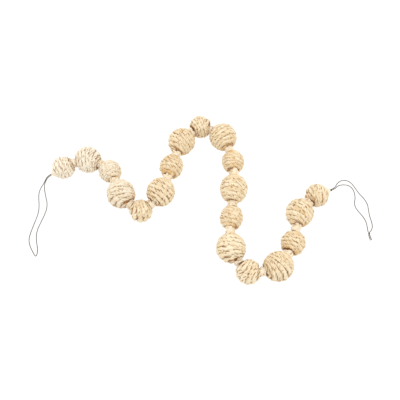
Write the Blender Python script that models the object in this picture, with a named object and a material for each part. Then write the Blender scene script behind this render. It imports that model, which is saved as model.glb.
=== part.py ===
"""Rope ball garland: nineteen balls wound of straw rope, large and small by turns, on one string.

The garland lies on a table in the wave it was laid in.  Short lengths of the same rope join the
balls, and the string comes out at each end as a hanging loop.  Units are metres, +Z is up, and
the origin is on the table, under the middle of the balls.
"""
import math
from collections import namedtuple

import bmesh
import bpy
from mathutils import Vector

MM = 0.001

# The wound balls
ROPE_GROOVE = 2.4 * MM       # how far the groove between two turns lies below their crests
TWIST_LUMP = 0.8 * MM        # the rope's own twist, raised along each turn
LIP_DROP = 0.4 * MM
BALL_SEGMENTS = 14
REST_DEPTH = 0.8 * MM        # how far a ball is flattened where it lies on the table
REST_FADE = (14.0, 24.0)     # degrees from straight down over which the turns press flat
POLE_REACH = 2.6 * MM        # how far the turns are drawn out of round toward the next ball
LINK_SHOWS = 1.8 * MM        # the least length of rope that is left to show between two balls

# The two kinds of eye at a ball's poles: one where the rope to the next ball goes in, and a wide
# shallow one under the gathered neck at each end of the garland
Eye = namedtuple("Eye", "well_radius lip_radius depth")
LINK_EYE = Eye(9.4 * MM, 10.2 * MM, 3.0 * MM)
NECK_EYE = Eye(11.2 * MM, 11.9 * MM, 3.6 * MM)

# The rope between two balls, and its gathered ends
LINK_RADIUS = 8.6 * MM
LINK_STRANDS = 2
LINK_WAIST = 0.07            # the dip between the rope's two strands, as a share of its radius
LINK_TWIST = 380.0           # degrees of twist for each length of ten rope radii
ROPE_SEGMENTS = 14
LINK_BULGE = 2.6 * MM        # how far a bend of the string pushes the rope to its outside
LINK_STEP = 2.6 * MM
SEAT_GAP = 0.3 * MM
NECK_BASE_RADIUS = 10.8 * MM
NECK_TIP_RADIUS = 2.3 * MM
NECK_GATHERS = 7
NECK_GATHER_DEPTH = 0.04     # the dip between two gathers, as a share of the neck's radius
NECK_LEFT_REACH = 3.4 * MM
NECK_RIGHT_REACH = 5.8 * MM
NECK_LEFT_BEARING = 215.4    # degrees from +X, seen from above
NECK_RIGHT_BEARING = 22.4

# The string
STRING_DIAMETER = 1.6 * MM
STOP_KNOT_RADIUS = 2.5 * MM
LOOP_KNOT_RADII = Vector((2.2, 2.7, 1.8)) * MM
LOOP_KNOT_PLACE = Vector((358.5, -76.6, 1.6)) * MM
STRING_BEND_STEP = 0.55      # radians of bend that cost as much as one even step of the string

SHARP_ANGLE = 30.0           # degrees between two faces past which their edge is shaded sharp

STRAW = (0.80, 0.63, 0.41)
PALE_STRAW = (0.84, 0.69, 0.48)
TWINE = (0.20, 0.155, 0.11)

# Each ball's centre and radius in millimetres, its turns of rope, and how many degrees its
# middle turns lean off square to the string, from the left end of the garland to the right
Ball = namedtuple("Ball", "x y radius turns lean")
BALLS = (
    Ball(-265.5, 62.0, 24.5, 6, 9),
    Ball(-215.0, 79.0, 28.5, 8, 12),
    Ball(-168.5, 54.0, 24.0, 7, 6),
    Ball(-140.5, -2.5, 29.5, 8, -24),
    Ball(-99.0, -36.5, 24.0, 6, 18),
    Ball(-60.5, 2.0, 29.5, 8, 4),
    Ball(-40.5, 64.0, 25.0, 6, 0),
    Ball(-19.5, 123.5, 29.0, 8, -10),
    Ball(20.5, 162.5, 25.0, 7, 22),
    Ball(68.0, 134.5, 29.5, 8, 0),
    Ball(88.5, 76.0, 24.0, 7, -6),
    Ball(88.0, 10.5, 29.0, 8, 0),
    Ball(81.5, -51.5, 24.0, 6, -12),
    Ball(78.5, -117.5, 29.5, 8, -15),
    Ball(110.5, -162.5, 25.0, 6, -1),
    Ball(167.0, -153.5, 29.5, 8, 18),
    Ball(199.5, -105.0, 24.5, 6, 9),
    Ball(217.5, -41.5, 28.5, 8, -6),
    Ball(256.5, -2.5, 24.5, 6, -22),
)

# Routes of the string, in millimetres: x, y and height of its middle.  The left loop goes out
# beside itself, down to the table, round its tip and back.  The right one is two ends tied.
LEFT_LOOP = (
    (-289.4, 46.8, 23.7), (-295.5, 42.0, 22.9), (-299.9, 38.8, 19.2), (-304.0, 35.6, 13.0),
    (-308.3, 32.3, 7.0), (-312.7, 28.0, 2.8), (-315.8, 21.0, 1.0), (-316.8, 12.5, 0.9),
    (-315.7, 2.0, 0.9), (-313.3, -11.0, 0.9), (-312.0, -23.0, 0.9), (-312.6, -35.0, 0.9),
    (-315.1, -47.5, 0.9), (-318.3, -61.5, 0.9), (-321.3, -76.0, 0.9), (-322.2, -89.0, 0.9),
    (-318.7, -101.5, 0.9), (-312.3, -113.0, 0.9), (-306.9, -121.0, 0.9), (-304.1, -123.6, 0.9),
    (-302.1, -120.6, 0.9), (-301.9, -114.0, 0.9), (-303.7, -104.0, 0.9), (-307.0, -91.5, 0.9),
    (-308.9, -79.0, 0.9), (-307.8, -66.0, 0.9), (-303.7, -52.0, 0.9), (-299.1, -37.0, 0.9),
    (-296.3, -22.5, 0.9), (-297.1, -9.0, 0.9), (-300.7, 3.0, 0.9), (-304.1, 14.0, 1.0),
    (-306.2, 22.5, 2.4), (-305.8, 29.2, 6.8), (-302.7, 34.0, 13.0), (-298.4, 37.1, 19.2),
    (-294.1, 40.3, 22.9), (-288.0, 44.9, 23.7),
)
RIGHT_OUTER = (
    (289.3, 12.1, 23.6), (294.1, 15.7, 22.4), (297.7, 19.6, 19.8), (301.1, 25.0, 15.4),
    (305.9, 31.9, 10.4), (311.9, 38.1, 6.0), (318.7, 42.4, 2.8), (325.7, 43.8, 1.1),
    (333.1, 41.2, 0.9), (339.4, 35.2, 0.9), (344.5, 25.8, 0.9), (351.4, 12.8, 0.9),
    (359.9, 0.3, 0.9), (364.7, -11.8, 0.9), (365.3, -24.5, 0.9), (365.7, -38.5, 0.9),
    (367.7, -51.5, 0.9), (367.5, -61.5, 0.9), (364.4, -69.2, 0.9), (359.6, -73.8, 1.1),
)
RIGHT_INNER = (
    (290.1, 10.3, 23.6), (295.4, 13.8, 22.4), (299.3, 17.7, 19.6), (303.5, 22.4, 15.2),
    (309.1, 27.0, 10.0), (315.7, 30.6, 5.4), (323.3, 32.6, 2.0), (331.7, 31.2, 0.9),
    (337.9, 25.4, 0.9), (341.4, 15.2, 0.9), (341.5, 3.0, 0.9), (338.9, -8.0, 0.9),
    (339.3, -18.0, 0.9), (344.7, -28.8, 0.9), (351.7, -39.6, 0.9), (356.1, -50.5, 0.9),
    (357.1, -61.0, 0.9), (357.2, -69.2, 0.9), (357.5, -73.8, 1.1),
)
TAIL_OUTER = ((359.6, -79.4, 1.1), (360.5, -84.4, 0.9), (362.1, -89.8, 0.9))
TAIL_INNER = ((357.5, -79.4, 1.1), (358.2, -85.0, 0.9), (359.6, -90.8, 0.9))
LEFT_LOOP_POINTS = 42
RIGHT_LEG_POINTS = 16
TAIL_POINTS = 3


def clear_scene():
    for old in list(bpy.data.objects):
        bpy.data.objects.remove(old, do_unlink=True)


def make_material(name, colour, roughness):
    material = bpy.data.materials.new(name)
    material.use_nodes = True
    shader = material.node_tree.nodes["Principled BSDF"]
    shader.inputs["Base Color"].default_value = (*colour, 1.0)
    shader.inputs["Roughness"].default_value = roughness
    shader.inputs["Metallic"].default_value = 0.0
    return material


def add_piece(name, bm, place, colour, roughness=0.8):
    """Turn a bmesh into a named object of the garland."""
    bm.normal_update()
    bmesh.ops.recalc_face_normals(bm, faces=bm.faces)
    mesh = bpy.data.meshes.new(name)
    bm.to_mesh(mesh)
    bm.free()
    mesh.shade_smooth()
    mesh.set_sharp_from_angle(angle=math.radians(SHARP_ANGLE))
    mesh.materials.append(make_material(name + "_finish", colour, roughness))
    piece = bpy.data.objects.new(name, mesh)
    piece.location = place
    garland.objects.link(piece)
    return piece


def cut_flat(bm, height):
    """Cut a piece flat at a height, where it lies on the table."""
    everything = bm.verts[:] + bm.edges[:] + bm.faces[:]
    bmesh.ops.bisect_plane(
        bm, geom=everything, dist=1e-7, plane_co=(0, 0, height), plane_no=(0, 0, -1), clear_outer=True
    )
    open_edges = [edge for edge in bm.edges if edge.is_boundary]
    bmesh.ops.holes_fill(bm, edges=open_edges, sides=0)


def ball_centre(ball):
    return Vector((ball.x * MM, ball.y * MM, ball.radius * MM - REST_DEPTH))


def bearing_vector(degrees):
    return Vector((math.cos(math.radians(degrees)), math.sin(math.radians(degrees)), 0.0))


def heading_after(index):
    """The straight heading from a ball to the next one, or out along the neck at an end."""
    if index < 0:
        return -bearing_vector(NECK_LEFT_BEARING)
    if index == len(BALLS) - 1:
        return bearing_vector(NECK_RIGHT_BEARING)
    return (ball_centre(BALLS[index + 1]) - ball_centre(BALLS[index])).normalized()


def gap_after(index):
    """The room between the rounds of a ball and the next."""
    apart = (ball_centre(BALLS[index + 1]) - ball_centre(BALLS[index])).length
    return apart - (BALLS[index].radius + BALLS[index + 1].radius) * MM


def pole_reach(index):
    """How far two neighbours are drawn out toward each other, in the room between them."""
    if index < 0 or index == len(BALLS) - 1:
        return 0.0
    return min(POLE_REACH, max(0.0, (gap_after(index) - LINK_SHOWS) / 2))


def link_middle(index):
    """Where the rope passes between a ball and the next, pushed to the outside of the string's bend."""
    heading = heading_after(index)
    inward = heading_after(index + 1) - heading_after(index - 1)
    outward = -(inward - heading * inward.dot(heading))
    from_centre = BALLS[index].radius * MM + gap_after(index) / 2
    return ball_centre(BALLS[index]) + heading * from_centre + outward * LINK_BULGE


def string_directions(index):
    """The string's direction into a ball, through its middle and out of it."""
    centre = ball_centre(BALLS[index])
    first, last = index == 0, index == len(BALLS) - 1
    way_in = heading_after(-1) if first else (centre - link_middle(index - 1)).normalized()
    way_out = heading_after(index) if last else (link_middle(index) - centre).normalized()
    straight = way_in + way_out
    lean = math.atan2(straight.y, straight.x) + math.radians(BALLS[index].lean)
    middle = Vector((math.cos(lean), math.sin(lean), 0.0))
    return way_in, middle, way_out


def ball_eyes(index):
    """The eye where the string leaves a ball, and the eye where it comes in."""
    leaving = NECK_EYE if index == len(BALLS) - 1 else LINK_EYE
    coming_in = NECK_EYE if index == 0 else LINK_EYE
    return leaving, coming_in


def well_edge(radius, eye):
    """Polar angle and distance of the edge of an eye's flat floor."""
    well_floor = radius - eye.depth
    return math.atan2(eye.well_radius, well_floor), math.hypot(eye.well_radius, well_floor)


def ball_rings(radius, turns, leaving, coming_in, reach_out, reach_in):
    """Polar angle, distance and lump of each ring of a ball, from the pole where the string leaves."""
    first_edge = well_edge(radius + reach_out, leaving)
    last_edge = well_edge(radius + reach_in, coming_in)
    first_lip = math.asin(leaving.lip_radius / (radius + reach_out))
    last_lip = math.pi - math.asin(coming_in.lip_radius / (radius + reach_in))
    half_turn = (last_lip - first_lip) / (2 * turns)
    rings = [(*first_edge, 0)]
    for step in range(2 * turns + 1):
        polar = first_lip + step * half_turn
        drawn_out = (reach_out if polar < math.pi / 2 else reach_in) * math.cos(polar) ** 2
        at_lip, crest = step in (0, 2 * turns), step % 2 == 1
        drop = LIP_DROP if at_lip else 0.0 if crest else ROPE_GROOVE
        rings.append((polar, radius + drawn_out - drop, step if crest else 0))
    rings.append((math.pi - last_edge[0], last_edge[1], 0))
    return rings


def wound_ball(name, index):
    """A ball of rope wound round the string, with an eye at each pole and a flat spot below."""
    ball = BALLS[index]
    radius = ball.radius * MM
    way_in, middle, way_out = string_directions(index)
    leaving, coming_in = ball_eyes(index)
    reach_out, reach_in = pole_reach(index), pole_reach(index - 1)
    rings = ball_rings(radius, ball.turns, leaving, coming_in, reach_out, reach_in)
    bm = bmesh.new()
    bmesh.ops.create_uvsphere(bm, u_segments=BALL_SEGMENTS, v_segments=len(rings) + 1, radius=1.0)
    ring_step = math.pi / (len(rings) + 1)
    segment_step = 2 * math.pi / BALL_SEGMENTS
    press_from, press_to = (math.radians(limit) for limit in REST_FADE)
    for vert in bm.verts:
        ring = round(math.acos(max(-1.0, min(1.0, vert.co.z))) / ring_step)
        around = math.atan2(vert.co.y, vert.co.x)
        if ring == 0:
            polar, distance, lump = 0.0, radius + reach_out - leaving.depth, 0
        elif ring == len(rings) + 1:
            polar, distance, lump = math.pi, radius + reach_in - coming_in.depth, 0
        else:
            polar, distance, lump = rings[ring - 1]
        # the turns fan out round a bend of the string, so their axis turns from eye to eye
        from_pole = min(polar, math.pi - polar)
        lip_angle = math.asin((leaving if polar < math.pi / 2 else coming_in).lip_radius / radius)
        share = max(0.0, from_pole - lip_angle) / (math.pi / 2 - lip_angle)
        forward = (way_out if polar < math.pi / 2 else way_in).lerp(middle, share).normalized()
        side = Vector((0, 0, 1)).cross(forward).normalized()
        upward = forward.cross(side)
        across = side * math.cos(around) + upward * math.sin(around)
        heading = forward * math.cos(polar) + across * math.sin(polar)
        if lump:
            segment = round(around / segment_step)
            distance -= TWIST_LUMP * ((segment + lump // 2) % 2)
        if ring not in (0, 1, len(rings), len(rings) + 1):
            from_below = math.acos(max(-1.0, min(1.0, -heading.z)))
            pressed = min(1.0, max(0.0, (press_to - from_below) / (press_to - press_from)))
            distance += (radius - distance) * pressed
        vert.co = heading * distance
    cut_flat(bm, REST_DEPTH - radius)
    return add_piece(name, bm, ball_centre(ball), STRAW)


def rope_length(name, start, way_out, end, way_in, radii, lobes, waist, twist_rate):
    """A length of lobed rope from one seat to the next, bent to leave and enter both square."""
    reach = (end - start).length
    first_handle = start + way_out * reach / 3
    last_handle = end - way_in * reach / 3
    sections = max(3, round(reach / LINK_STEP) + 1)
    bm = bmesh.new()
    bmesh.ops.create_cone(
        bm, cap_ends=True, segments=ROPE_SEGMENTS, radius1=1.0, radius2=1.0, depth=1.0
    )
    uprights = [edge for edge in bm.edges if abs(edge.verts[0].co.z - edge.verts[1].co.z) > 0.5]
    bmesh.ops.subdivide_edges(bm, edges=uprights, cuts=sections - 2)
    twist = math.radians(twist_rate) * reach / (10 * LINK_RADIUS)
    for vert in bm.verts:
        along = vert.co.z + 0.5
        around = math.atan2(vert.co.y, vert.co.x)
        rest = 1 - along
        middle = (
            start * rest ** 3 + first_handle * 3 * rest ** 2 * along
            + last_handle * 3 * rest * along ** 2 + end * along ** 3
        )
        forward = way_out.lerp(way_in, along).normalized()
        side = Vector((0, 0, 1)).cross(forward).normalized()
        upward = forward.cross(side)
        lobed = 1 - waist + waist * math.cos(lobes * (around - twist * along))
        radius = (radii[0] * rest + radii[1] * along) * lobed
        vert.co = middle + (side * math.cos(around) + upward * math.sin(around)) * radius
    return add_piece(name, bm, (0, 0, 0), PALE_STRAW)


def link_rope(name, index):
    """The rope between two balls, seated in the eye of each."""
    here, there = BALLS[index], BALLS[index + 1]
    leaving = string_directions(index)[2]
    arriving = string_directions(index + 1)[0]
    seat = pole_reach(index) - LINK_EYE.depth + SEAT_GAP
    start = ball_centre(here) + leaving * (here.radius * MM + seat)
    end = ball_centre(there) - arriving * (there.radius * MM + seat)
    radii = (LINK_RADIUS, LINK_RADIUS)
    return rope_length(
        name, start, leaving, end, arriving, radii, LINK_STRANDS, LINK_WAIST, LINK_TWIST
    )


def gathered_neck(name, ball, bearing, reach):
    """The rope's end, gathered to a blunt cone where the string leaves the last ball."""
    outward = bearing_vector(bearing)
    start = ball_centre(ball) + outward * (ball.radius * MM - NECK_EYE.depth + SEAT_GAP)
    end = ball_centre(ball) + outward * (ball.radius * MM + reach)
    radii = (NECK_BASE_RADIUS, NECK_TIP_RADIUS)
    return rope_length(
        name, start, outward, end, outward, radii, NECK_GATHERS, NECK_GATHER_DEPTH, 0.0
    )


def small_knot(name, place, radii, lies_on_table):
    """A small tight knot of the string, three rounded lobes of it showing."""
    bm = bmesh.new()
    bmesh.ops.create_uvsphere(bm, u_segments=12, v_segments=8, radius=1.0)
    for vert in bm.verts:
        around = math.atan2(vert.co.y, vert.co.x)
        lobes = 0.93 + 0.07 * math.cos(3 * around + 2 * vert.co.z)
        vert.co = Vector(a * b for a, b in zip(vert.co, radii)) * lobes
    if lies_on_table:
        cut_flat(bm, -place.z)
    return add_piece(name, bm, place, TWINE)


def smooth_route(points, steps=24):
    """A smooth curve through a route's points, as a dense list of points."""
    corners = [Vector(point) * MM for point in points]
    corners = [corners[0] * 2 - corners[1]] + corners + [corners[-1] * 2 - corners[-2]]
    curve = []
    for before, here, there, after in zip(corners, corners[1:], corners[2:], corners[3:]):
        for step in range(steps):
            t = step / steps
            curve.append(
                (here * 2 + (there - before) * t + (before * 2 - here * 5 + there * 4 - after) * t ** 2
                 + (here * 3 - before - there * 3 + after) * t ** 3) / 2
            )
    curve.append(corners[-2])
    return curve


def spread_points(curve, count):
    """Points along a dense curve, closer together where it bends."""
    length = sum((there - here).length for here, there in zip(curve, curve[1:]))
    even_step = length / count
    worth = [0.0]
    for before, here, there in zip(curve, curve[1:], curve[2:]):
        bend = (here - before).angle(there - here, 0.0)
        worth.append(worth[-1] + (here - before).length / even_step + bend / STRING_BEND_STEP)
    worth.append(worth[-1] + (curve[-1] - curve[-2]).length / even_step)
    chosen = []
    place = 0
    for number in range(count):
        target = worth[-1] * number / (count - 1)
        while place < len(worth) - 2 and worth[place + 1] < target:
            place += 1
        share = (target - worth[place]) / (worth[place + 1] - worth[place])
        chosen.append(curve[place].lerp(curve[place + 1], min(1.0, share)))
    return chosen


def string_tube(name, route, count):
    """A length of the string as a round tube with closed ends."""
    data = bpy.data.curves.new(name, "CURVE")
    data.dimensions = "3D"
    data.bevel_depth = STRING_DIAMETER / 2
    data.bevel_resolution = 2
    data.use_fill_caps = True
    points = spread_points(smooth_route(route), count)
    spline = data.splines.new("POLY")
    spline.points.add(len(points) - 1)
    for spline_point, point in zip(spline.points, points):
        spline_point.co = (*point, 1.0)
    data.materials.append(make_material(name + "_finish", TWINE, 0.85))
    tube = bpy.data.objects.new(name, data)
    garland.objects.link(tube)
    return tube


clear_scene()
garland = bpy.data.collections.new("rope_ball_garland")
bpy.context.scene.collection.children.link(garland)

for number in range(len(BALLS)):
    wound_ball(f"ball_{number + 1:02d}", number)
for number in range(len(BALLS) - 1):
    link_rope(f"link_{number + 1:02d}", number)

gathered_neck("neck_left", BALLS[0], NECK_LEFT_BEARING, NECK_LEFT_REACH)
gathered_neck("neck_right", BALLS[-1], NECK_RIGHT_BEARING, NECK_RIGHT_REACH)
stop_knot_reach = BALLS[-1].radius * MM + NECK_RIGHT_REACH + SEAT_GAP + STOP_KNOT_RADIUS
stop_knot_place = ball_centre(BALLS[-1]) + bearing_vector(NECK_RIGHT_BEARING) * stop_knot_reach
small_knot("stop_knot_right", stop_knot_place, Vector((1, 1, 1)) * STOP_KNOT_RADIUS, False)

string_tube("loop_left", LEFT_LOOP, LEFT_LOOP_POINTS)
string_tube("loop_right_outer", RIGHT_OUTER, RIGHT_LEG_POINTS)
string_tube("loop_right_inner", RIGHT_INNER, RIGHT_LEG_POINTS)
small_knot("loop_knot_right", LOOP_KNOT_PLACE, LOOP_KNOT_RADII, True)
string_tube("tail_right_outer", TAIL_OUTER, TAIL_POINTS)
string_tube("tail_right_inner", TAIL_INNER, TAIL_POINTS)
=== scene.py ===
"""Looks of the rope ball garland: nineteen balls wound of corn husk rope, joined on one string.

The sections follow the garland as it is put together: the string that it is threaded on, the
wound balls, the rope that shows between them, its gathered ends, and the knots.  Units are metres.
"""
import math
import random
from collections import namedtuple

import bpy
import numpy as np
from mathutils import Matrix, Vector


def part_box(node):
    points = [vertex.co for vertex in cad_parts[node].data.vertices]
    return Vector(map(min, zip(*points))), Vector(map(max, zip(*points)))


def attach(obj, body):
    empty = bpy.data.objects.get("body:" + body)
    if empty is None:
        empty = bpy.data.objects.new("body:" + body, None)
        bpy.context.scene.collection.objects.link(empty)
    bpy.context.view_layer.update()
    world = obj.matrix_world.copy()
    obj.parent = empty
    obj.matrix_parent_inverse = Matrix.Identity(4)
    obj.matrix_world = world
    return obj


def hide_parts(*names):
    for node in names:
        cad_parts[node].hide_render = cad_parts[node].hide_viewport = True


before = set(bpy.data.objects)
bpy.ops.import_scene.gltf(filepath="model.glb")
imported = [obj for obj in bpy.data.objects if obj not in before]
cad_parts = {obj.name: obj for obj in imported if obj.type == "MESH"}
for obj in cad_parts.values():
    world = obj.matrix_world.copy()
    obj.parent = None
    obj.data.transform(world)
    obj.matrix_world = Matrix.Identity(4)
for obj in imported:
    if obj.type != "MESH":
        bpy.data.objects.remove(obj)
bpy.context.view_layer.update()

# The camera stands in front of the table and looks steeply down on the whole garland,
# which lies in a wave from the left of the picture to the right.
MM = 0.001
LOOKED_AT = Vector((19.2, -1.5, 0.0)) * MM
CAMERA_ELEVATION = math.radians(65.0)
CAMERA_DISTANCE = 996.5 * MM
CAMERA_LENS = 43.2
SENSOR_WIDTH = 36.0

camera_data = bpy.data.cameras.new("garland_camera")
camera_data.lens = CAMERA_LENS
camera_data.sensor_width = SENSOR_WIDTH
camera = bpy.data.objects.new("garland_camera", camera_data)
bpy.context.scene.collection.objects.link(camera)
toward_camera = Vector((0.0, -math.cos(CAMERA_ELEVATION), math.sin(CAMERA_ELEVATION)))
camera.location = LOOKED_AT + toward_camera * CAMERA_DISTANCE
camera.rotation_euler = toward_camera.to_track_quat("Z", "Y").to_euler()
bpy.context.scene.camera = camera


# The string is a thin two-ply twine, taupe and a little hairy.  It runs through all the balls,
# and comes out at each end as a hanging loop: a plain fold on the left, two tied ends on the right.
STRING_DIAMETER = 1.6 * MM
STRING_PLY_SWELL = 0.07      # how far the two plies swell and dip, as a share of the string's radius
STRING_LAY = 4.2 * MM        # length of string in which a ply goes once round
STRING_SIDES = 10
STRING_STEP = 0.55 * MM
KNOT_SQUEEZE = 0.95          # the string pulled tight in a knot, as a share of its diameter
KNOT_POINTS = 73
LOOP_KNOT_RADII = (2.2 * MM, 2.7 * MM, 1.8 * MM)
LEFT_LOOP = (
    (-289.4, 46.8, 23.7), (-295.5, 42.0, 22.9), (-299.9, 38.8, 19.2), (-304.0, 35.6, 13.0),
    (-308.3, 32.3, 7.0), (-312.7, 28.0, 2.8), (-315.8, 21.0, 1.0), (-316.8, 12.5, 0.9),
    (-315.7, 2.0, 0.9), (-313.3, -11.0, 0.9), (-312.0, -23.0, 0.9), (-312.6, -35.0, 0.9),
    (-315.1, -47.5, 0.9), (-318.3, -61.5, 0.9), (-321.3, -76.0, 0.9), (-322.2, -89.0, 0.9),
    (-318.7, -101.5, 0.9), (-312.3, -113.0, 0.9), (-306.9, -121.0, 0.9), (-304.1, -123.6, 0.9),
    (-302.1, -120.6, 0.9), (-301.9, -114.0, 0.9), (-303.7, -104.0, 0.9), (-307.0, -91.5, 0.9),
    (-308.9, -79.0, 0.9), (-307.8, -66.0, 0.9), (-303.7, -52.0, 0.9), (-299.1, -37.0, 0.9),
    (-296.3, -22.5, 0.9), (-297.1, -9.0, 0.9), (-300.7, 3.0, 0.9), (-304.1, 14.0, 1.0),
    (-306.2, 22.5, 2.4), (-305.8, 29.2, 6.8), (-302.7, 34.0, 13.0), (-298.4, 37.1, 19.2),
    (-294.1, 40.3, 22.9), (-288.0, 44.9, 23.7),
)
RIGHT_OUTER = (
    (289.3, 12.1, 23.6), (294.1, 15.7, 22.4), (297.7, 19.6, 19.8), (301.1, 25.0, 15.4),
    (305.9, 31.9, 10.4), (311.9, 38.1, 6.0), (318.7, 42.4, 2.8), (325.7, 43.8, 1.1),
    (333.1, 41.2, 0.9), (339.4, 35.2, 0.9), (344.5, 25.8, 0.9), (351.4, 12.8, 0.9),
    (359.9, 0.3, 0.9), (364.7, -11.8, 0.9), (365.3, -24.5, 0.9), (365.7, -38.5, 0.9),
    (367.7, -51.5, 0.9), (367.5, -61.5, 0.9), (364.4, -69.2, 0.9), (359.6, -73.8, 1.1),
)
RIGHT_INNER = (
    (290.1, 10.3, 23.6), (295.4, 13.8, 22.4), (299.3, 17.7, 19.6), (303.5, 22.4, 15.2),
    (309.1, 27.0, 10.0), (315.7, 30.6, 5.4), (323.3, 32.6, 2.0), (331.7, 31.2, 0.9),
    (337.9, 25.4, 0.9), (341.4, 15.2, 0.9), (341.5, 3.0, 0.9), (338.9, -8.0, 0.9),
    (339.3, -18.0, 0.9), (344.7, -28.8, 0.9), (351.7, -39.6, 0.9), (356.1, -50.5, 0.9),
    (357.1, -61.0, 0.9), (357.2, -69.2, 0.9), (357.5, -73.8, 1.1),
)
TAIL_OUTER = ((359.6, -79.4, 1.1), (360.5, -84.4, 0.9), (362.1, -89.8, 0.9))
TAIL_INNER = ((357.5, -79.4, 1.1), (358.2, -85.0, 0.9), (359.6, -90.8, 0.9))

Tube = namedtuple("Tube", "rings place tone depth")


def unit(vectors):
    return vectors / np.linalg.norm(vectors, axis=-1, keepdims=True)


def distance_along(line):
    steps = np.linalg.norm(np.diff(line, axis=0), axis=1)
    return np.concatenate(([0.0], np.cumsum(steps)))


def even_line(line, step):
    """The same line, and what else its rows hold, with its points a step apart."""
    along = distance_along(line[:, :3])
    wanted = np.linspace(0.0, along[-1], max(3, round(along[-1] / step) + 1))
    return np.column_stack([np.interp(wanted, along, column) for column in line.T])


def laid_line(points, step):
    """A smooth line through the points of a given route, in millimetres."""
    corners = np.array(points, dtype=float) * MM
    first, last = corners[0] * 2 - corners[1], corners[-1] * 2 - corners[-2]
    corners = np.vstack((first, corners, last))
    t = np.linspace(0.0, 1.0, 24, endpoint=False)[:, None]
    runs = []
    for before, here, there, after in zip(corners, corners[1:], corners[2:], corners[3:]):
        bend = (before * 2 - here * 5 + there * 4 - after) * t ** 2
        turn = (here * 3 - before - there * 3 + after) * t ** 3
        runs.append((here * 2 + (there - before) * t + bend + turn) / 2)
    return even_line(np.vstack(runs + [corners[-2:-1]]), step)


def square_frame(line, topside):
    """At each point of a line, the way on, and the way up and across that are square to it."""
    forward = unit(np.gradient(line, axis=0))
    upward = unit(topside - forward * np.sum(topside * forward, axis=1, keepdims=True))
    return forward, upward, np.cross(forward, upward)


def rings_round(line, topside, angles, reach):
    """Rings of points round a line, at the given angles from its top and distances from it."""
    _, upward, across = square_frame(line, topside)
    up_part = (reach * np.cos(angles))[..., None] * upward[:, None]
    across_part = (reach * np.sin(angles))[..., None] * across[:, None]
    return line[:, None] + up_part + across_part


def ring_faces(first, rings, sides):
    """The faces of a tube of rings and of its two ends, from its first point's number on."""
    ring, side = np.meshgrid(np.arange(rings - 1), np.arange(sides), indexing="ij")
    here = first + ring * sides + side
    beside = first + ring * sides + (side + 1) % sides
    quads = np.stack((here, beside, beside + sides, here + sides), axis=-1).reshape(-1, 4).tolist()
    start = [first + number for number in reversed(range(sides))]
    end = [first + (rings - 1) * sides + number for number in range(sides)]
    return quads + [start, end]


def make_piece(name, tubes, finish, replaced, sharp_angle=38.0):
    """Join closed tubes into one piece of the garland, which takes the place of CAD nodes."""
    points, faces = [], []
    for tube in tubes:
        rings, sides = tube.rings.shape[:2]
        faces += ring_faces(sum(len(part) for part in points), rings, sides)
        points.append(tube.rings.reshape(-1, 3))
    mesh = bpy.data.meshes.new(name)
    mesh.from_pydata(np.vstack(points).tolist(), [], faces)
    for label, kind, field in (("place", "FLOAT_VECTOR", "vector"), ("tone", "FLOAT", "value"),
                               ("depth", "FLOAT", "value")):
        values = np.concatenate([getattr(tube, label).ravel() for tube in tubes])
        mesh.attributes.new(f"husk_{label}", kind, "POINT").data.foreach_set(field, values)
    mesh.shade_smooth()
    mesh.set_sharp_from_angle(angle=math.radians(sharp_angle))
    mesh.materials.append(finish)
    piece = bpy.data.objects.new(name, mesh)
    bpy.context.scene.collection.objects.link(piece)
    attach(piece, "root")
    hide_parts(*replaced)
    return piece


def plied_string(line):
    """A length of the string: two plies twisted together, seen as one lobed round."""
    along = distance_along(line)[:, None]
    corners = np.arange(STRING_SIDES) * 2 * math.pi / STRING_SIDES
    twist = 2 * math.pi * along / STRING_LAY
    plies = 1 + STRING_PLY_SWELL * np.cos(2 * corners)
    reach = STRING_DIAMETER / 2 * plies * np.ones_like(along)
    rings = rings_round(line, np.array((0.0, 0.0, 1.0)), corners + twist, reach)
    rings[..., 2] = np.maximum(rings[..., 2], 0.0)
    place = np.stack((reach * np.cos(corners), reach * np.sin(corners), along + reach * 0), axis=-1)
    return Tube(rings, place, reach * 0, reach * 0)


def twine_finish():
    """Dull taupe twine, its fibres lighter and darker along each ply."""
    material = bpy.data.materials.new("taupe_twine")
    material.use_nodes = True
    nodes, links = material.node_tree.nodes, material.node_tree.links
    shader = nodes["Principled BSDF"]
    place = nodes.new("ShaderNodeAttribute")
    place.attribute_name = "husk_place"
    fibres = nodes.new("ShaderNodeTexNoise")
    fibres.inputs["Scale"].default_value = 2200.0
    fibres.inputs["Detail"].default_value = 3.0
    shades = nodes.new("ShaderNodeValToRGB")
    shades.color_ramp.elements[0].position = 0.35
    shades.color_ramp.elements[0].color = (0.085, 0.064, 0.042, 1.0)
    shades.color_ramp.elements[1].position = 0.70
    shades.color_ramp.elements[1].color = (0.180, 0.140, 0.098, 1.0)
    hairs = nodes.new("ShaderNodeBump")
    hairs.inputs["Strength"].default_value = 0.6
    hairs.inputs["Distance"].default_value = 0.15 * MM
    links.new(place.outputs["Vector"], fibres.inputs["Vector"])
    links.new(fibres.outputs["Fac"], shades.inputs["Fac"])
    links.new(shades.outputs["Color"], shader.inputs["Base Color"])
    links.new(fibres.outputs["Fac"], hairs.inputs["Height"])
    links.new(hairs.outputs["Normal"], shader.inputs["Normal"])
    shader.inputs["Roughness"].default_value = 0.85
    shader.inputs["Specular IOR Level"].default_value = 0.25
    return material


def string_cord(name, route, node):
    """A length of string that leaves a ball, laid along its whole route."""
    line = laid_line(route, STRING_STEP)
    piece = make_piece(name, [plied_string(line)], taupe_twine, [node])


def string_tail(name, route, node):
    """A short tail of the string where a leg ends, made as a piece of its own."""
    line = laid_line(route, STRING_STEP)
    return make_piece(name, [plied_string(line)], taupe_twine, [node])


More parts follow.
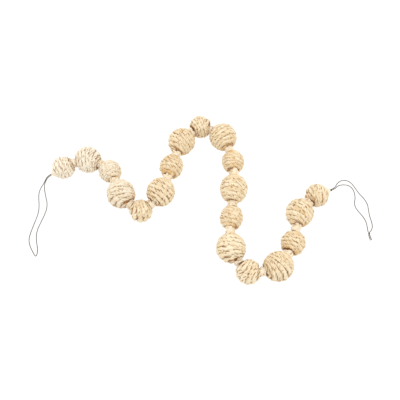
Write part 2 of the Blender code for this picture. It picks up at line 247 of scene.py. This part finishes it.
def tied_knot(name, place, radii, node):
    """A small tight overhand knot of the string, drawn as a trefoil of it."""
    t = np.linspace(0.0, 2 * math.pi, KNOT_POINTS)
    knot = np.column_stack((np.sin(t) + 2 * np.sin(2 * t), np.cos(t) - 2 * np.cos(2 * t), -np.sin(3 * t)))
    inner = np.array(radii) - STRING_DIAMETER * KNOT_SQUEEZE / 2
    line = knot / np.array((3.0, 3.0, 1.0)) * inner + np.array(place)
    corners = np.arange(STRING_SIDES) * 2 * math.pi / STRING_SIDES
    along = distance_along(line)[:, None]
    reach = STRING_DIAMETER * KNOT_SQUEEZE / 2 * np.ones_like(along * corners)
    rings = rings_round(line, np.array((0.0, 0.0, 1.0)), corners + along * 0, reach)
    rings[..., 2] = np.maximum(rings[..., 2], 0.0)
    strand_place = np.stack((reach * np.cos(corners), reach * np.sin(corners), along + reach * 0), -1)
    return make_piece(name, [Tube(rings, strand_place, reach * 0, reach * 0)], taupe_twine, [node])


taupe_twine = twine_finish()
loop_knot_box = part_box("loop_knot_right")
loop_knot_place = [(low + high) / 2 for low, high in zip(*loop_knot_box)]
loop_knot = tied_knot("tied_loop_knot", loop_knot_place, LOOP_KNOT_RADII, "loop_knot_right")
tail_outer = string_tail("string_tail_outer", TAIL_OUTER, "tail_right_outer")
tail_inner = string_tail("string_tail_inner", TAIL_INNER, "tail_right_inner")
string_cord("string_loop_left", LEFT_LOOP, "loop_left")
string_cord(
    "string_leg_outer", RIGHT_OUTER, "loop_right_outer"
)
string_cord("string_leg_inner", RIGHT_INNER, "loop_right_inner")


# Each ball is one length of two-strand corn husk rope, wound in close turns round the string
# from one eye to the other over its own under layer, and glued.  The husk blades lie folded in
# the strands, so every turn shows slanting lumps, creases and here and there a blade's loose end.
LINK_EYE_RADIUS = 10.2 * MM  # the eye that the rope to the next ball goes into
NECK_EYE_RADIUS = 11.9 * MM  # the wider one under the gathered neck at each end of the garland
POLE_REACH = 2.6 * MM        # how far the turns are drawn out of round toward the next ball
LINK_SHOWS = 1.8 * MM        # the least length of rope that is left to show between two balls
REST_DEPTH = 0.8 * MM        # how far a ball is pressed flat where it lies on the table
LINK_BULGE = 2.6 * MM        # how far a bend of the string pushes the rope to its outside
NECK_LEFT_BEARING = 215.4    # degrees from +X, seen from above
NECK_RIGHT_BEARING = 22.4
POINTS_A_TURN = 90
ROPE_STEP = 1.5 * MM
ROPE_FULLNESS = 1.07         # the rope's width, as a share of the room that a turn has
CREST_DROP = 0.5 * MM        # the fullest lumps just reach the ball's round
ROPE_LAY = 23.0 * MM         # length of rope in which a strand goes once round
STRAND_OFFSET = 0.33         # how far a strand's middle lies off the rope's, in rope radii
STRAND_WIDTH = 0.88
STRAND_SIDES = 16
BLADES = 4                   # husk blades that show in a strand
BLADE_ROUND = (0.94, 1.0, 1.03, 1.0)
BLADE_TONES = (0.2, 0.8)
BLADE_LIFT, BLADE_WAVE = 0.16, 12 * MM
LUMP_SIZE, LUMP_WAVE = 0.13, 19 * MM
LAY_WANDER, LAY_WAVE = 0.5, 61 * MM
TONE_DRIFT, TONE_WAVE = 0.5, 90 * MM
CREASE_DIP = 0.20            # how far a blade's edge is folded in, as a share of the strand
CREASE_WAVE = 14.0 * MM      # about how far apart the folded-in lengths of an edge are
CREASE_SHARE, CREASE_SWING = 0.2, 2.4
# painted shade in the folded-in edges of the blades
CREASE_SHADE = 1.0
BLADE_SPIN = -0.75           # turns of a strand on itself for each turn of the rope
END_TUCK = 3.5 * MM          # how deep the rope's two ends are tucked in
END_TUCK_TURNS = 0.2
END_SPARE_TURNS = 0.45
TURN_WANDER = 0.075          # how far a turn strays from its even place, in turns
WANDER_TURNS = 2.3
CREST_SWING, CREST_TURNS = 0.5 * MM, 1.7
LEAST_ROOM, MOST_ROOM = 0.7, 1.35
UNDER_LAYER = 3.8 * MM       # depth of the under layer below the crests
PAINTED_SHADE_DEPTH = 4.4 * MM        # depth in the ball at which the painted crease shade is darkest
CREVICE_SHADE = 0.40         # painted shade: how much deeper in the ball the husk is drawn where it faces the next ball close by
CREVICE_ANGLE = 0.60         # how far round that reaches from the edge of the eye
CREVICE_WARM_SHADE = 1.1          # painted warm shade: how much further toward amber the husk is coloured there, for each part of that depth
UNDER_RINGS, UNDER_SIDES = 25, 40
UNDER_TONE = 0.6
LOOSE_ENDS = 16              # blade ends that stand off each ball
LOOSE_LENGTHS, LOOSE_WIDTHS = (2.5, 5.0), (0.9, 1.7)
LOOSE_LIFTS, LOOSE_CURL = (0.25, 0.8), 0.7
PALER_BALLS = 4           # the first four balls, at the left, are coloured paler than the rest
BALL_SEED = 101

# Each ball's centre and radius in millimetres, its turns of rope, how many degrees its middle
# turns lean off square to the string, and how much deeper its husk is in tone than the common
# run, from the left end of the garland to the right
Ball = namedtuple("Ball", "x y radius turns lean deeper")
BALLS = (
    Ball(-265.5, 62.0, 24.5, 6, 9, -0.2),
    Ball(-215.0, 79.0, 28.5, 8, 12, -0.25),
    Ball(-168.5, 54.0, 24.0, 7, 6, 0.0),
    Ball(-140.5, -2.5, 29.5, 8, -24, 0.1),
    Ball(-99.0, -36.5, 24.0, 6, 18, 0.1),
    Ball(-60.5, 2.0, 29.5, 8, 4, 0.05),
    Ball(-40.5, 64.0, 25.0, 6, 0, 0.1),
    Ball(-19.5, 123.5, 29.0, 8, -10, 0.2),
    Ball(20.5, 162.5, 25.0, 7, 22, -0.2),
    Ball(68.0, 134.5, 29.5, 8, 0, 0.2),
    Ball(88.5, 76.0, 24.0, 7, -6, 0.3),
    Ball(88.0, 10.5, 29.0, 8, 0, 0.1),
    Ball(81.5, -51.5, 24.0, 6, -12, 0.35),
    Ball(78.5, -117.5, 29.5, 8, -15, -0.15),
    Ball(110.5, -162.5, 25.0, 6, -1, -0.2),
    Ball(167.0, -153.5, 29.5, 9, 18, 0.1),
    Ball(199.5, -105.0, 24.5, 6, 9, 0.3),
    Ball(217.5, -41.5, 28.5, 8, -6, 0.05),
    Ball(256.5, -2.5, 24.5, 6, -22, 0.1),
)


def bearing_vector(degrees):
    return Vector((math.cos(math.radians(degrees)), math.sin(math.radians(degrees)), 0.0))


def ball_radius(index):
    return BALLS[index].radius * MM


def ball_centre(index):
    return Vector((BALLS[index].x * MM, BALLS[index].y * MM, ball_radius(index) - REST_DEPTH))


def heading_after(index):
    """The straight heading from a ball to the next one, or out along the neck at an end."""
    if index < 0:
        return -bearing_vector(NECK_LEFT_BEARING)
    if index == len(BALLS) - 1:
        return bearing_vector(NECK_RIGHT_BEARING)
    return (ball_centre(index + 1) - ball_centre(index)).normalized()


def gap_after(index):
    """The room between the rounds of a ball and the next."""
    return (ball_centre(index + 1) - ball_centre(index)).length - ball_radius(index) - ball_radius(index + 1)


def pole_reach(index):
    """How far two neighbours are drawn out toward each other, in the room between them."""
    if index < 0 or index == len(BALLS) - 1:
        return 0.0
    return min(POLE_REACH, max(0.0, (gap_after(index) - LINK_SHOWS) / 2))


def eye_angle(index, leaving):
    """The angle at a ball's middle between its pole and the edge of the eye there."""
    at_garland_end = index == (len(BALLS) - 1 if leaving else 0)
    reach = pole_reach(index if leaving else index - 1)
    return math.asin((NECK_EYE_RADIUS if at_garland_end else LINK_EYE_RADIUS) / (ball_radius(index) + reach))


def link_middle(index):
    """Where the rope passes between a ball and the next, outside the straight line on a bend."""
    heading = heading_after(index)
    inward = heading_after(index + 1) - heading_after(index - 1)
    outward = -(inward - heading * inward.dot(heading))
    from_centre = ball_radius(index) + gap_after(index) / 2
    return ball_centre(index) + heading * from_centre + outward * LINK_BULGE


def string_directions(index):
    """The string's direction into a ball, through its middle and out of it."""
    centre = ball_centre(index)
    first, last = index == 0, index == len(BALLS) - 1
    way_in = heading_after(-1) if first else (centre - link_middle(index - 1)).normalized()
    way_out = heading_after(index) if last else (link_middle(index) - centre).normalized()
    straight = way_in + way_out
    lean = math.atan2(straight.y, straight.x) + math.radians(BALLS[index].lean)
    return way_in, Vector((math.cos(lean), math.sin(lean), 0.0)), way_out


def ball_headings(index, polar, around):
    """Directions from a ball's middle, by the angle from the eye where the string leaves it."""
    way_in, middle, way_out = (np.array(way) for way in string_directions(index))
    eye = np.where(polar < math.pi / 2, eye_angle(index, True), eye_angle(index, False))
    from_pole = np.minimum(polar, math.pi - polar)
    share = (np.clip(from_pole - eye, 0.0, None) / (math.pi / 2 - eye))[..., None]
    nearer = np.where((polar < math.pi / 2)[..., None], way_out, way_in)
    forward = unit(nearer * (1 - share) + middle * share)
    side = unit(np.cross(np.array((0.0, 0.0, 1.0)), forward))
    upward = np.cross(forward, side)
    across = side * np.cos(around)[..., None] + upward * np.sin(around)[..., None]
    return forward * np.cos(polar)[..., None] + across * np.sin(polar)[..., None]


def drawn_out(index, polar):
    """How far the turns stand out of the ball's round, nearer to a pole the more."""
    reach = np.where(polar < math.pi / 2, pole_reach(index), pole_reach(index - 1))
    return reach * np.cos(polar) ** 2


def uneven(along, draws, wave, size):
    """A smooth irregular swing along a rope, as hand work has."""
    swing = np.zeros_like(along)
    for share in (1.0, 0.61, 0.37):
        swing += np.sin(2 * math.pi * along / (wave * share) + draws.uniform(0, 2 * math.pi))
    return swing * size / 3


def smooth_step(values):
    values = np.clip(values, 0.0, 1.0)
    return values * values * (3 - 2 * values)


def husk_strands(line, topside, rope_radius, lay, draws, crease_dip=CREASE_DIP, deeper=0.0):
    """The two strands of a rope along a line, each a lobed round of folded husk blades."""
    along = distance_along(line)
    rope_radius = rope_radius * np.ones_like(along)
    _, upward, across = square_frame(line, topside)
    start_turn = draws.uniform(0, 2 * math.pi)
    corners = np.arange(STRAND_SIDES)
    strands = []
    for strand in range(2):
        turn = 2 * math.pi * along / lay + start_turn + strand * math.pi
        turn += uneven(along, draws, LAY_WAVE, LAY_WANDER)
        offset_way = upward * np.cos(turn)[:, None] + across * np.sin(turn)[:, None]
        strand_line = line + offset_way * (rope_radius * STRAND_OFFSET)[:, None]
        fullness = 1 + uneven(along, draws, LUMP_WAVE, LUMP_SIZE)
        high = (rope_radius * (1 - STRAND_OFFSET) * fullness)[:, None]
        wide = (rope_radius * STRAND_WIDTH * fullness)[:, None]
        spin = 2 * math.pi * along / lay * BLADE_SPIN
        angles = corners * 2 * math.pi / STRAND_SIDES + spin[:, None]
        oval = high * wide / np.hypot(wide * np.cos(angles), high * np.sin(angles))
        blade_of = corners * BLADES // STRAND_SIDES
        lift = np.stack([1 + uneven(along, draws, BLADE_WAVE, BLADE_LIFT) for _ in range(BLADES)], axis=1)
        shade = np.stack(
            [draws.uniform(*BLADE_TONES) + uneven(along, draws, TONE_WAVE, TONE_DRIFT)
             for _ in range(BLADES)], axis=1
        )
        folded = np.stack(
            [smooth_step(CREASE_SHARE + uneven(along, draws, CREASE_WAVE, CREASE_SWING))
             for _ in range(BLADES)], axis=1
        )
        crease = folded[:, blade_of] * (corners % len(BLADE_ROUND) == 0)
        rounding = np.array(BLADE_ROUND)[corners % len(BLADE_ROUND)]
        reach = oval * rounding * lift[:, blade_of] * (1 - crease_dip * crease)
        rings = rings_round(strand_line, offset_way, angles, reach)
        place = np.stack(
            (reach * np.cos(corners), reach * np.sin(corners),
             along[:, None] + reach * 0 + draws.uniform(0, 1)), axis=-1
        )
        tone = shade[:, blade_of] + deeper
        # the folded-in edges carry painted shade through the depth
        strands.append(Tube(rings, place, tone, CREASE_SHADE * crease))
    return strands


def crevice_shade(index, points):
    """Painted warm shade round the two eyes, where the husk of two balls lights and darkens each other."""
    headings = unit(points - np.array(ball_centre(index)))
    way_in, _, way_out = string_directions(index)
    shade = np.zeros(headings.shape[:-1])
    for pole, leaving, neighbour in ((way_out, True, index + 1), (-way_in, False, index - 1)):
        if 0 <= neighbour < len(BALLS):
            from_pole = np.arccos(np.clip(headings @ np.array(pole), -1.0, 1.0))
            shade += CREVICE_SHADE * smooth_step(1 - (from_pole - eye_angle(index, leaving)) / CREVICE_ANGLE)
    return shade


def press_on_table(tube, index):
    """Flatten a tube where it meets the table, and note how deep in the ball each point lies, for the
    painted shade in the creases; the painted warm shade beside the next ball is added to depth and tone.
    """
    rings = tube.rings.copy()
    from_centre = np.linalg.norm(rings - np.array(ball_centre(index)), axis=-1)
    # painted warm shade beside the next ball: it darkens the husk through the depth and turns it amber
    # through the tone
    shade = crevice_shade(index, rings)
    depth = np.clip((ball_radius(index) - from_centre) / PAINTED_SHADE_DEPTH + tube.depth + shade, 0.0, 1.0)
    rings[..., 2] = np.maximum(rings[..., 2], 0.0)
    return tube._replace(rings=rings, depth=depth, tone=tube.tone + CREVICE_WARM_SHADE * shade)


def turn_angle(index):
    """The angle at a ball's middle that one turn of its rope takes up."""
    return (math.pi - eye_angle(index, True) - eye_angle(index, False)) / BALLS[index].turns


def wound_rope_line(index, draws):
    """The middle of a ball's rope and its radius, in close turns from eye to eye, its ends tucked in.

    The soft rope is pressed thin where the turns crowd together, and fills the room where they fan out.
    """
    eye_out, turns = eye_angle(index, True), BALLS[index].turns - 1 + 2 * END_SPARE_TURNS
    turn = np.linspace(0.0, turns, round(turns * POINTS_A_TURN))
    wander = uneven(turn, draws, WANDER_TURNS, TURN_WANDER)
    polar = eye_out + (turn + 0.5 - END_SPARE_TURNS + wander) * turn_angle(index)
    start = draws.uniform(0, 2 * math.pi)
    tuck = 1 - smooth_step(np.minimum(turn, turns - turn) / END_TUCK_TURNS)
    crest = ball_radius(index) + drawn_out(index, polar) - CREST_DROP
    crest += uneven(turn, draws, CREST_TURNS, CREST_SWING)
    headings = ball_headings(index, polar, start + turn * 2 * math.pi)
    apart = np.linalg.norm(headings[POINTS_A_TURN:] - headings[:-POINTS_A_TURN], axis=1)
    room = np.concatenate((apart[:POINTS_A_TURN], (apart[POINTS_A_TURN:] + apart[:-POINTS_A_TURN]) / 2,
                           apart[-POINTS_A_TURN:])) * ball_radius(index)
    even_room = ball_radius(index) * turn_angle(index)
    rope_radius = np.clip(room, LEAST_ROOM * even_room, MOST_ROOM * even_room) * ROPE_FULLNESS / 2
    distance = crest - rope_radius - END_TUCK * tuck
    middle = np.array(ball_centre(index)) + headings * distance[:, None]
    evened = even_line(np.column_stack((middle, rope_radius)), ROPE_STEP)
    return evened[:, :3], evened[:, 3]


def under_layer(index):
    """The turns below the ones that show, seen only as the floor of the creases."""
    polar = np.linspace(0.02, math.pi - 0.02, UNDER_RINGS)[:, None]
    around = -np.arange(UNDER_SIDES) * 2 * math.pi / UNDER_SIDES
    polar, around = np.broadcast_arrays(polar, around)
    reach = (ball_radius(index) - UNDER_LAYER + drawn_out(index, polar))[..., None]
    rings = np.array(ball_centre(index)) + ball_headings(index, polar, around) * reach
    place = np.stack((rings[..., 0], rings[..., 2], rings[..., 1]), axis=-1)
    # it lies deep enough to take nearly the full painted crease shade
    return Tube(rings, place, np.full(polar.shape, UNDER_TONE), np.zeros(polar.shape))


def loose_blade(foot, outward, onward, length, width, draws):
    """The end of a husk blade that has sprung out of a crease: thin, curled and pointed."""
    share = np.linspace(0.0, 1.0, 5)[:, None]
    lift = draws.uniform(*LOOSE_LIFTS)
    line = foot + onward * share * length + outward * (share ** 1.6) * length * lift
    corners = np.arange(4) * math.pi / 2
    half_width = width / 2 * np.array((0.7, 1.0, 0.8, 0.5, 0.08))[:, None]
    half_thickness = 0.14 * MM
    reach = np.where(corners % math.pi == 0, half_thickness, half_width)
    curl = draws.uniform(-LOOSE_CURL, LOOSE_CURL) * share
    rings = rings_round(line, np.broadcast_to(outward, line.shape), corners + curl, reach)
    place = np.stack((reach * np.cos(corners), reach * np.sin(corners), share * length + reach * 0), -1)
    tone = np.full(reach.shape, draws.uniform(0.0, 0.6))
    return Tube(rings, place, tone, reach * 0)


def straw_finish(name, pale, tan, amber, crease, fibre_strength, roughness):
    """Dry husk: fine fibres along each blade, blades of unlike tone, painted brown shade in the creases and
    painted amber shade beside the next ball.
    """
    material = bpy.data.materials.new(name)
    material.use_nodes = True
    nodes, links = material.node_tree.nodes, material.node_tree.links
    shader = nodes["Principled BSDF"]
    place = nodes.new("ShaderNodeAttribute")
    place.attribute_name = "husk_place"
    tone = nodes.new("ShaderNodeAttribute")
    tone.attribute_name = "husk_tone"
    depth = nodes.new("ShaderNodeAttribute")
    depth.attribute_name = "husk_depth"

    lengthways = nodes.new("ShaderNodeMapping")
    lengthways.inputs["Scale"].default_value = (1.0, 1.0, 0.07)
    fibres = nodes.new("ShaderNodeTexNoise")
    fibres.inputs["Scale"].default_value = 1500.0
    fibres.inputs["Detail"].default_value = 3.0
    patches = nodes.new("ShaderNodeTexNoise")
    patches.inputs["Scale"].default_value = 95.0
    patches.inputs["Detail"].default_value = 2.0

    fibre_share = nodes.new("ShaderNodeMath")
    fibre_share.operation = "MULTIPLY_ADD"
    fibre_share.inputs[1].default_value = 0.5
    patch_share = nodes.new("ShaderNodeMath")
    patch_share.operation = "MULTIPLY_ADD"
    patch_share.inputs[1].default_value = 0.9
    patch_share.inputs[2].default_value = -0.55
    straw = nodes.new("ShaderNodeValToRGB")
    straw.color_ramp.elements[0].position = 0.10
    straw.color_ramp.elements[0].color = (*pale, 1.0)
    straw.color_ramp.elements[1].position = 0.74
    straw.color_ramp.elements[1].color = (*tan, 1.0)
    # the amber end is reached mostly by the painted warm shade beside the next ball, and by the deepest
    # blade tones
    straw.color_ramp.elements.new(1.0).color = (*amber, 1.0)

    # painted shade: the deeper a point lies in the ball or a fold, the nearer its colour is drawn to the
    # crease brown
    darken = nodes.new("ShaderNodeMapRange")
    darken.interpolation_type = "SMOOTHSTEP"
    darken.inputs["From Min"].default_value = 0.35
    darken.inputs["From Max"].default_value = 1.0
    creased = nodes.new("ShaderNodeMix")
    creased.data_type = "RGBA"
    creased.inputs["B"].default_value = (*crease, 1.0)
    ridges = nodes.new("ShaderNodeBump")
    ridges.inputs["Strength"].default_value = fibre_strength
    ridges.inputs["Distance"].default_value = 0.25 * MM

    links.new(place.outputs["Vector"], lengthways.inputs["Vector"])
    links.new(lengthways.outputs["Vector"], fibres.inputs["Vector"])
    links.new(place.outputs["Vector"], patches.inputs["Vector"])
    links.new(patches.outputs["Fac"], patch_share.inputs[0])
    links.new(fibres.outputs["Fac"], fibre_share.inputs[0])
    links.new(patch_share.outputs["Value"], fibre_share.inputs[2])
    total = nodes.new("ShaderNodeMath")
    total.operation = "MULTIPLY_ADD"
    total.inputs[1].default_value = 0.55
    links.new(tone.outputs["Fac"], total.inputs[0])
    links.new(fibre_share.outputs["Value"], total.inputs[2])
    links.new(total.outputs["Value"], straw.inputs["Fac"])
    links.new(depth.outputs["Fac"], darken.inputs["Value"])
    links.new(darken.outputs["Result"], creased.inputs["Factor"])
    links.new(straw.outputs["Color"], creased.inputs["A"])
    links.new(creased.outputs["Result"], shader.inputs["Base Color"])
    links.new(fibres.outputs["Fac"], ridges.inputs["Height"])
    links.new(ridges.outputs["Normal"], shader.inputs["Normal"])
    shader.inputs["Roughness"].default_value = roughness
    shader.inputs["Specular IOR Level"].default_value = 0.35
    return material


def wound_ball(index):
    draws = random.Random(BALL_SEED + index)
    line, rope_radius = wound_rope_line(index, draws)
    topside = unit(line - np.array(ball_centre(index)))
    tubes = husk_strands(line, topside, rope_radius, ROPE_LAY, draws, deeper=BALLS[index].deeper)
    forward = unit(np.gradient(line, axis=0))
    for _ in range(LOOSE_ENDS):
        spot = draws.randrange(40, len(line) - 40)
        sideways = np.cross(forward[spot], topside[spot]) * draws.choice((-1, 1))
        foot = line[spot] + (topside[spot] * 0.75 + sideways * 0.55) * rope_radius[spot]
        onward = unit(forward[spot] * draws.choice((-1, 1)) + sideways * draws.uniform(0.1, 0.9))
        length = draws.uniform(*LOOSE_LENGTHS) * MM
        width = draws.uniform(*LOOSE_WIDTHS) * MM
        tubes.append(loose_blade(foot, topside[spot], onward, length, width, draws))
    tubes.append(under_layer(index))
    tubes = [press_on_table(tube, index) for tube in tubes]
    finish = paler_rope if index < PALER_BALLS else straw_rope
    make_piece(f"wound_ball_{index + 1:02d}", tubes, finish, [f"ball_{index + 1:02d}"])


# crease is the colour of the painted shade in the creases, amber that of the painted warm shade beside the
# next ball
straw_rope = straw_finish(
    "husk_rope", pale=(0.85, 0.74, 0.53), tan=(0.73, 0.565, 0.35), amber=(0.66, 0.40, 0.13),
    crease=(0.27, 0.105, 0.018), fibre_strength=0.55, roughness=0.62,
)
paler_rope = straw_finish(
    "paler_rope", pale=(0.845, 0.77, 0.63), tan=(0.76, 0.635, 0.45), amber=(0.70, 0.46, 0.17),
    crease=(0.33, 0.16, 0.05), fibre_strength=0.55, roughness=0.62,
)
for index in range(len(BALLS)):
    wound_ball(index)


# Between two balls the rope runs on bare for a few millimetres, drawn smooth and pale round
# the string.  It comes out of the eye of one ball and goes into the eye of the next.
LINK_RADIUS = 9.7 * MM
LINK_LAY = 60.0 * MM
LINK_STEP = 0.7 * MM
SEAT_DEPTH = 4.5 * MM        # how far the rope goes on into a ball's eye
SMOOTH_DIP = 0.06            # its blades are hardly folded, unlike those in the balls
LINK_SEED = 301

# its crease colour is the painted shade in the rope's folds and between the gathers of the necks
pale_straw = straw_finish(
    "pale_straw", pale=(0.88, 0.78, 0.61), tan=(0.79, 0.65, 0.46), amber=(0.70, 0.50, 0.26),
    crease=(0.38, 0.21, 0.07), fibre_strength=0.4, roughness=0.55,
)


def bent_line(start, way_out, end, way_in, steps=60):
    """A line that leaves its start and meets its end square to both."""
    t = np.linspace(0.0, 1.0, steps)[:, None]
    reach = (end - start).length / 3
    corners = [np.array(point) for point in (start, start + way_out * reach, end - way_in * reach, end)]
    return (corners[0] * (1 - t) ** 3 + corners[1] * 3 * (1 - t) ** 2 * t
            + corners[2] * 3 * (1 - t) * t ** 2 + corners[3] * t ** 3)


def joining_rope(index):
    leaving, arriving = string_directions(index)[2], string_directions(index + 1)[0]
    seat = pole_reach(index) - SEAT_DEPTH
    start = ball_centre(index) + leaving * (ball_radius(index) + seat)
    end = ball_centre(index + 1) - arriving * (ball_radius(index + 1) + seat)
    line = even_line(bent_line(start, leaving, end, arriving), LINK_STEP)
    draws = random.Random(LINK_SEED + index)
    tubes = husk_strands(line, np.array((0.0, 0.0, 1.0)), LINK_RADIUS, LINK_LAY, draws, SMOOTH_DIP)
    name = f"link_{index + 1:02d}"
    make_piece(f"joining_rope_{index + 1:02d}", tubes, pale_straw, [name])


for index in range(len(BALLS) - 1):
    joining_rope(index)


# At each end of the garland the rope's husk is gathered smooth to a blunt cone round the string,
# which carries on the ball's round to the point where the string leaves it.  On the right a stop
# knot of the string holds it.
NECK_BASE_RADIUS = 11.5 * MM
NECK_TIP_RADIUS = 2.3 * MM
NECK_LEFT_REACH = 3.4 * MM
NECK_RIGHT_REACH = 5.8 * MM
NECK_SEAT = 4.6 * MM         # how deep in the ball the cone starts
NECK_GATHERS = 9
NECK_GATHER_DEPTH = 0.10     # the dip between two gathers, as a share of the neck's radius
NECK_SIDES = 72
NECK_RINGS = 16
NECK_TWIST = 0.9             # how far the gathers turn from base to tip, in gathers' radians
NECK_TONE = 0.35
# painted shade in the dips between the gathers
NECK_DIP_SHADE = 0.7
NECK_SEED = 401
STOP_KNOT_RADIUS = 2.5 * MM


def gathered_neck(name, index, bearing, reach, node):
    """A blunt fluted cone of gathered husk, from inside the ball's eye to where the string leaves."""
    draws = random.Random(NECK_SEED + index)
    outward = np.array(bearing_vector(bearing))
    out = np.linspace(0.0, 1.0, NECK_RINGS)
    height = ball_radius(index) - NECK_SEAT + (NECK_SEAT + reach) * out
    line = np.array(ball_centre(index)) + outward * height[:, None]
    cone = NECK_BASE_RADIUS + (NECK_TIP_RADIUS - NECK_BASE_RADIUS) * (0.6 * out + 0.4 * smooth_step(out))
    corners = np.arange(NECK_SIDES) * 2 * math.pi / NECK_SIDES
    flutes = NECK_GATHERS * corners + uneven(corners, draws, 2.1, 1.2) + NECK_TWIST * out[:, None]
    dip = (1 - np.abs(np.sin(flutes / 2))) ** 2
    reach_out = cone[:, None] * (1 - NECK_GATHER_DEPTH * dip)
    rings = rings_round(line, np.array((0.0, 0.0, 1.0)), corners, reach_out)
    lengthways = height[:, None] * 3 + reach_out * 0
    place = np.stack((reach_out * np.cos(corners), reach_out * np.sin(corners), lengthways), -1)
    tone = np.clip(NECK_TONE + uneven(flutes, draws, 9.0, 0.5), 0.0, 1.0)
    # the dips between the gathers are darkened as painted shade
    tube = Tube(rings, place, tone, dip * NECK_DIP_SHADE)
    make_piece(name, [tube], pale_straw, [node])


gathered_neck("gathered_neck_left", 0, NECK_LEFT_BEARING, NECK_LEFT_REACH, "neck_left")
gathered_neck("gathered_neck_right", len(BALLS) - 1, NECK_RIGHT_BEARING, NECK_RIGHT_REACH, "neck_right")
stop_knot_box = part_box("stop_knot_right")
stop_knot_place = [(low + high) / 2 for low, high in zip(*stop_knot_box)]
tied_knot("stop_knot", stop_knot_place, (STOP_KNOT_RADIUS,) * 3, "stop_knot_right")


# The garland lies on a white light table, which takes its shadow away, under the even light of
# a white tent, with a broad soft lamp high on each side.
TABLE_SIZE = 6.0
TABLE_GLOW = 1.0
TENT_STRENGTH = 1.05


def white_table():
    bpy.ops.mesh.primitive_plane_add(size=TABLE_SIZE, location=(0.0, 0.0, -0.1 * MM))
    table = bpy.context.object
    table.name = "white_table"
    material = bpy.data.materials.new("white_table")
    material.use_nodes = True
    shader = material.node_tree.nodes["Principled BSDF"]
    shader.inputs["Base Color"].default_value = (0.05, 0.05, 0.05, 1.0)
    shader.inputs["Roughness"].default_value = 0.9
    shader.inputs["Emission Color"].default_value = (1.0, 1.0, 1.0, 1.0)
    shader.inputs["Emission Strength"].default_value = TABLE_GLOW
    table.data.materials.append(material)


def soft_lamp(name, place, size, power):
    data = bpy.data.lights.new(name, "AREA")
    data.shape = "DISK"
    data.size = size
    data.energy = power
    lamp = bpy.data.objects.new(name, data)
    lamp.location = place
    lamp.rotation_euler = Vector(place).to_track_quat("Z", "Y").to_euler()
    bpy.context.scene.collection.objects.link(lamp)


white_table()
soft_lamp("left_lamp", (-1.3, 0.8, 1.5), 0.9, 8.5)
soft_lamp("right_lamp", (1.3, -0.1, 1.6), 0.9, 8.0)
tent = bpy.data.worlds.new("white_tent")
tent.use_nodes = True
tent.node_tree.nodes["Background"].inputs["Color"].default_value = (1.0, 1.0, 1.0, 1.0)
tent.node_tree.nodes["Background"].inputs["Strength"].default_value = TENT_STRENGTH
bpy.context.scene.world = tent
bpy.context.scene.view_settings.view_transform = "Standard"
